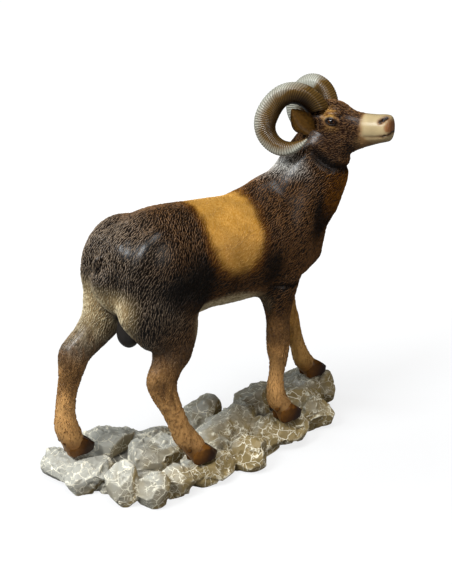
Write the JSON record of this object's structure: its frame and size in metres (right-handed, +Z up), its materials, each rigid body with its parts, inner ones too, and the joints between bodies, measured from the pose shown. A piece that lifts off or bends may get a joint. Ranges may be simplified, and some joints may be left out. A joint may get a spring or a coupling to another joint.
{
  "type": "mouflon figurine",
  "caption": "Painted resin figure of a mouflon ram with coiled, ribbed horns and its head turned aside, standing on a low bed of boulders; a nativity scene animal.",
  "frame": {"origin": "middle of the overall box, on the flat underside of the boulders", "axes": "+Z up, +X the way the body faces, +Y the animal's left; the head is turned to its right, towards -Y"},
  "size_m": [0.1626, 0.0744, 0.1759],
  "materials": {
    "painted_resin": "hand-painted cast resin in dark brown, tan and cream over grey rocks, with a satin lacquer"
  },
  "bodies": {
    "root": {"mouflon_figure": "painted_resin"}
  },
  "joints": []
}
